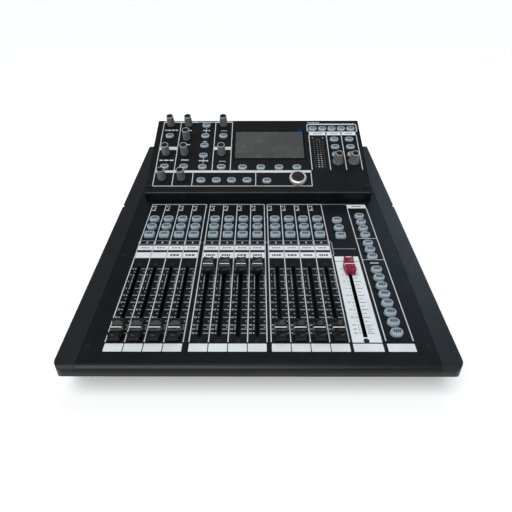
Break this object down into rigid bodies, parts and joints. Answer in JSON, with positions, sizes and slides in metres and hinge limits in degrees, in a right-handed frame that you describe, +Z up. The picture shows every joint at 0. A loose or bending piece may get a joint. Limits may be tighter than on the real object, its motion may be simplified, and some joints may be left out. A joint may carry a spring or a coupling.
{
  "type": "mixing console",
  "caption": "Compact desktop digital mixing console: low sloping fader deck, raised bridge with screen, knobs and a select dial, end cheeks and a rear connector panel.",
  "frame": {"origin": "centre of the footprint on the table, under the rubber feet", "axes": "+X to the operator's right, +Y away from the operator towards the connectors, +Z up"},
  "size_m": [0.3912, 0.4864, 0.1684],
  "materials": {
    "deck_paint": "fine satin black powder coat with white print",
    "bridge_paint": "fine satin black powder coat with white print",
    "case_paint": "satin black powder coat",
    "nose_paint": "satin dark grey",
    "cheek_plastic": "fine moulded grain",
    "cap_black": "satin moulded",
    "cap_red": "satin moulded",
    "key_silicone": "soft satin silicone",
    "knob_grey": "soft knurled",
    "dial_silver": "turned satin rim with black cap",
    "shaft_steel": "turned",
    "window_black": "polished acrylic",
    "module_metal": "stamped",
    "clear_film": "thin clear film over a dark screen",
    "meter_lens": "smoked lens",
    "track_steel": "zinc plated",
    "screw_black": "black oxide",
    "control_plastic": "moulded",
    "board_green": "solder mask",
    "supply_metal": "folded sheet",
    "socket_black": "moulded",
    "foot_rubber": "matte",
    "rocker_black": "polished"
  },
  "bodies": {
    "console": {"base_pan": "case_paint", "deck_panel": "deck_paint", "front_nose": "nose_paint", "left_cheek": "cheek_plastic", "right_cheek": "cheek_plastic", "bridge_cover": "bridge_paint", "rear_panel": "case_paint", "feet": "foot_rubber", "case_screws": "screw_black", "display_window": "window_black", "display_module": "module_metal", "screen_film": "clear_film", "level_meter": "meter_lens", "fader_tracks": "track_steel", "fader_screws": "screw_black", "rotary_controls": "control_plastic", "deck_board": "board_green", "bridge_board": "board_green", "main_board": "board_green", "power_supply": "supply_metal", "xlr_sockets": "socket_black", "jack_sockets": "socket_black", "data_sockets": "socket_black", "power_inlet": "socket_black"},
    "fader_1": {"fader_1": "cap_black"},
    "fader_2": {"fader_2": "cap_black"},
    "fader_3": {"fader_3": "cap_black"},
    "fader_4": {"fader_4": "cap_black"},
    "fader_5": {"fader_5": "cap_black"},
    "fader_6": {"fader_6": "cap_black"},
    "fader_7": {"fader_7": "cap_black"},
    "fader_8": {"fader_8": "cap_black"},
    "fader_9": {"fader_9": "cap_black"},
    "fader_10": {"fader_10": "cap_black"},
    "fader_11": {"fader_11": "cap_black"},
    "fader_12": {"fader_12": "cap_black"},
    "master_fader": {"master_fader": "cap_red"},
    "select_keys": {"select_keys": "key_silicone"},
    "on_keys": {"on_keys": "key_silicone"},
    "listen_keys": {"listen_keys": "key_silicone"},
    "master_keys": {"master_keys": "key_silicone"},
    "layer_keys": {"layer_keys": "key_silicone"},
    "send_keys": {"send_keys": "key_silicone"},
    "input_keys": {"input_keys": "key_silicone"},
    "screen_keys": {"screen_keys": "key_silicone"},
    "monitor_keys": {"monitor_keys": "key_silicone"},
    "knob_1": {"knob_1": "knob_grey"},
    "knob_2": {"knob_2": "knob_grey"},
    "knob_3": {"knob_3": "knob_grey"},
    "knob_4": {"knob_4": "knob_grey"},
    "knob_5": {"knob_5": "knob_grey"},
    "knob_6": {"knob_6": "knob_grey"},
    "knob_7": {"knob_7": "knob_grey"},
    "knob_8": {"knob_8": "knob_grey"},
    "knob_9": {"knob_9": "knob_grey"},
    "phones_knob": {"phones_knob": "knob_grey"},
    "monitor_knob": {"monitor_knob": "knob_grey"},
    "dial_shaft": {"dial_shaft": "shaft_steel"},
    "select_dial": {"select_dial": "dial_silver"},
    "power_rocker": {"power_rocker": "rocker_black"}
  },
  "joints": [
    {"name": "fader_1_slide", "type": "slide", "parent": "console", "child": "fader_1", "axis": [0, 0.9945, 0.1045], "range_m": [0, 0.1]},
    {"name": "fader_2_slide", "type": "slide", "parent": "console", "child": "fader_2", "axis": [0, 0.9945, 0.1045], "range_m": [0, 0.1]},
    {"name": "fader_3_slide", "type": "slide", "parent": "console", "child": "fader_3", "axis": [0, 0.9945, 0.1045], "range_m": [0, 0.1]},
    {"name": "fader_4_slide", "type": "slide", "parent": "console", "child": "fader_4", "axis": [0, 0.9945, 0.1045], "range_m": [0, 0.1]},
    {"name": "fader_5_slide", "type": "slide", "parent": "console", "child": "fader_5", "axis": [0, 0.9945, 0.1045], "range_m": [-0.1, 0]},
    {"name": "fader_6_slide", "type": "slide", "parent": "console", "child": "fader_6", "axis": [0, 0.9945, 0.1045], "range_m": [-0.1, 0]},
    {"name": "fader_7_slide", "type": "slide", "parent": "console", "child": "fader_7", "axis": [0, 0.9945, 0.1045], "range_m": [-0.1, 0]},
    {"name": "fader_8_slide", "type": "slide", "parent": "console", "child": "fader_8", "axis": [0, 0.9945, 0.1045], "range_m": [-0.1, 0]},
    {"name": "fader_9_slide", "type": "slide", "parent": "console", "child": "fader_9", "axis": [0, 0.9945, 0.1045], "range_m": [0, 0.1]},
    {"name": "fader_10_slide", "type": "slide", "parent": "console", "child": "fader_10", "axis": [0, 0.9945, 0.1045], "range_m": [0, 0.1]},
    {"name": "fader_11_slide", "type": "slide", "parent": "console", "child": "fader_11", "axis": [0, 0.9945, 0.1045], "range_m": [0, 0.1]},
    {"name": "fader_12_slide", "type": "slide", "parent": "console", "child": "fader_12", "axis": [0, 0.9945, 0.1045], "range_m": [0, 0.1]},
    {"name": "master_fader_slide", "type": "slide", "parent": "console", "child": "master_fader", "axis": [0, 0.9945, 0.1045], "range_m": [-0.1, 0]},
    {"name": "select_key_press", "type": "slide", "parent": "console", "child": "select_keys", "axis": [0, 0.1045, -0.9945], "range_m": [0, 0.0012], "stiffness_N_per_m": 800, "springref_m": -0.0006},
    {"name": "on_key_press", "type": "slide", "parent": "console", "child": "on_keys", "axis": [0, 0.1045, -0.9945], "range_m": [0, 0.0012], "stiffness_N_per_m": 800, "springref_m": -0.0006},
    {"name": "listen_key_press", "type": "slide", "parent": "console", "child": "listen_keys", "axis": [0, 0.1045, -0.9945], "range_m": [0, 0.0012], "stiffness_N_per_m": 800, "springref_m": -0.0006},
    {"name": "master_key_press", "type": "slide", "parent": "console", "child": "master_keys", "axis": [0, 0.1045, -0.9945], "range_m": [0, 0.0012], "stiffness_N_per_m": 800, "springref_m": -0.0006},
    {"name": "layer_key_press", "type": "slide", "parent": "console", "child": "layer_keys", "axis": [0, 0.1045, -0.9945], "range_m": [0, 0.0012], "stiffness_N_per_m": 800, "springref_m": -0.0006},
    {"name": "send_key_press", "type": "slide", "parent": "console", "child": "send_keys", "axis": [0, 0.1045, -0.9945], "range_m": [0, 0.0012], "stiffness_N_per_m": 800, "springref_m": -0.0006},
    {"name": "input_key_press", "type": "slide", "parent": "console", "child": "input_keys", "axis": [0, 0.3803, -0.9249], "range_m": [0, 0.0012], "stiffness_N_per_m": 800, "springref_m": -0.0006},
    {"name": "screen_key_press", "type": "slide", "parent": "console", "child": "screen_keys", "axis": [0, 0.3803, -0.9249], "range_m": [0, 0.0012], "stiffness_N_per_m": 800, "springref_m": -0.0006},
    {"name": "monitor_key_press", "type": "slide", "parent": "console", "child": "monitor_keys", "axis": [0, 0.3803, -0.9249], "range_m": [0, 0.0012], "stiffness_N_per_m": 800, "springref_m": -0.0006},
    {"name": "knob_1_turn", "type": "hinge", "parent": "console", "child": "knob_1", "pos_m": [-0.1413, 0.18411, 0.14971], "axis": [0, -0.3803, 0.9249], "continuous": true},
    {"name": "knob_2_turn", "type": "hinge", "parent": "console", "child": "knob_2", "pos_m": [-0.1128, 0.18411, 0.14971], "axis": [0, -0.3803, 0.9249], "continuous": true},
    {"name": "knob_3_turn", "type": "hinge", "parent": "console", "child": "knob_3", "pos_m": [-0.056, 0.18411, 0.14971], "axis": [0, -0.3803, 0.9249], "continuous": true},
    {"name": "knob_4_turn", "type": "hinge", "parent": "console", "child": "knob_4", "pos_m": [-0.1128, 0.15304, 0.13693], "axis": [0, -0.3803, 0.9249], "continuous": true},
    {"name": "knob_5_turn", "type": "hinge", "parent": "console", "child": "knob_5", "pos_m": [-0.1413, 0.12113, 0.12381], "axis": [0, -0.3803, 0.9249], "continuous": true},
    {"name": "knob_6_turn", "type": "hinge", "parent": "console", "child": "knob_6", "pos_m": [-0.1128, 0.12094, 0.12373], "axis": [0, -0.3803, 0.9249], "continuous": true},
    {"name": "knob_7_turn", "type": "hinge", "parent": "console", "child": "knob_7", "pos_m": [-0.056, 0.12094, 0.12373], "axis": [0, -0.3803, 0.9249], "continuous": true},
    {"name": "knob_8_turn", "type": "hinge", "parent": "console", "child": "knob_8", "pos_m": [-0.1413, 0.07248, 0.10381], "axis": [0, -0.3803, 0.9249], "continuous": true},
    {"name": "knob_9_turn", "type": "hinge", "parent": "console", "child": "knob_9", "pos_m": [-0.1128, 0.07202, 0.10362], "axis": [0, -0.3803, 0.9249], "continuous": true},
    {"name": "phones_knob_turn", "type": "hinge", "parent": "console", "child": "phones_knob", "pos_m": [0.1206, 0.10383, 0.1167], "axis": [0, -0.3803, 0.9249], "range_deg": [-150, 150]},
    {"name": "monitor_knob_turn", "type": "hinge", "parent": "console", "child": "monitor_knob", "pos_m": [0.1445, 0.10383, 0.1167], "axis": [0, -0.3803, 0.9249], "range_deg": [-150, 150]},
    {"name": "dial_push", "type": "slide", "parent": "console", "child": "dial_shaft", "axis": [0, 0.3803, -0.9249], "range_m": [0, 0.0005], "stiffness_N_per_m": 1500, "springref_m": -0.0005},
    {"name": "dial_turn", "type": "hinge", "parent": "dial_shaft", "child": "select_dial", "pos_m": [0.058, 0.06915, 0.10244], "axis": [0, -0.3803, 0.9249], "continuous": true},
    {"name": "power_rocker_tip", "type": "hinge", "parent": "console", "child": "power_rocker", "pos_m": [-0.142, 0.23565, 0.0615], "axis": [-1, 0, 0], "range_deg": [0, 16]}
  ]
}
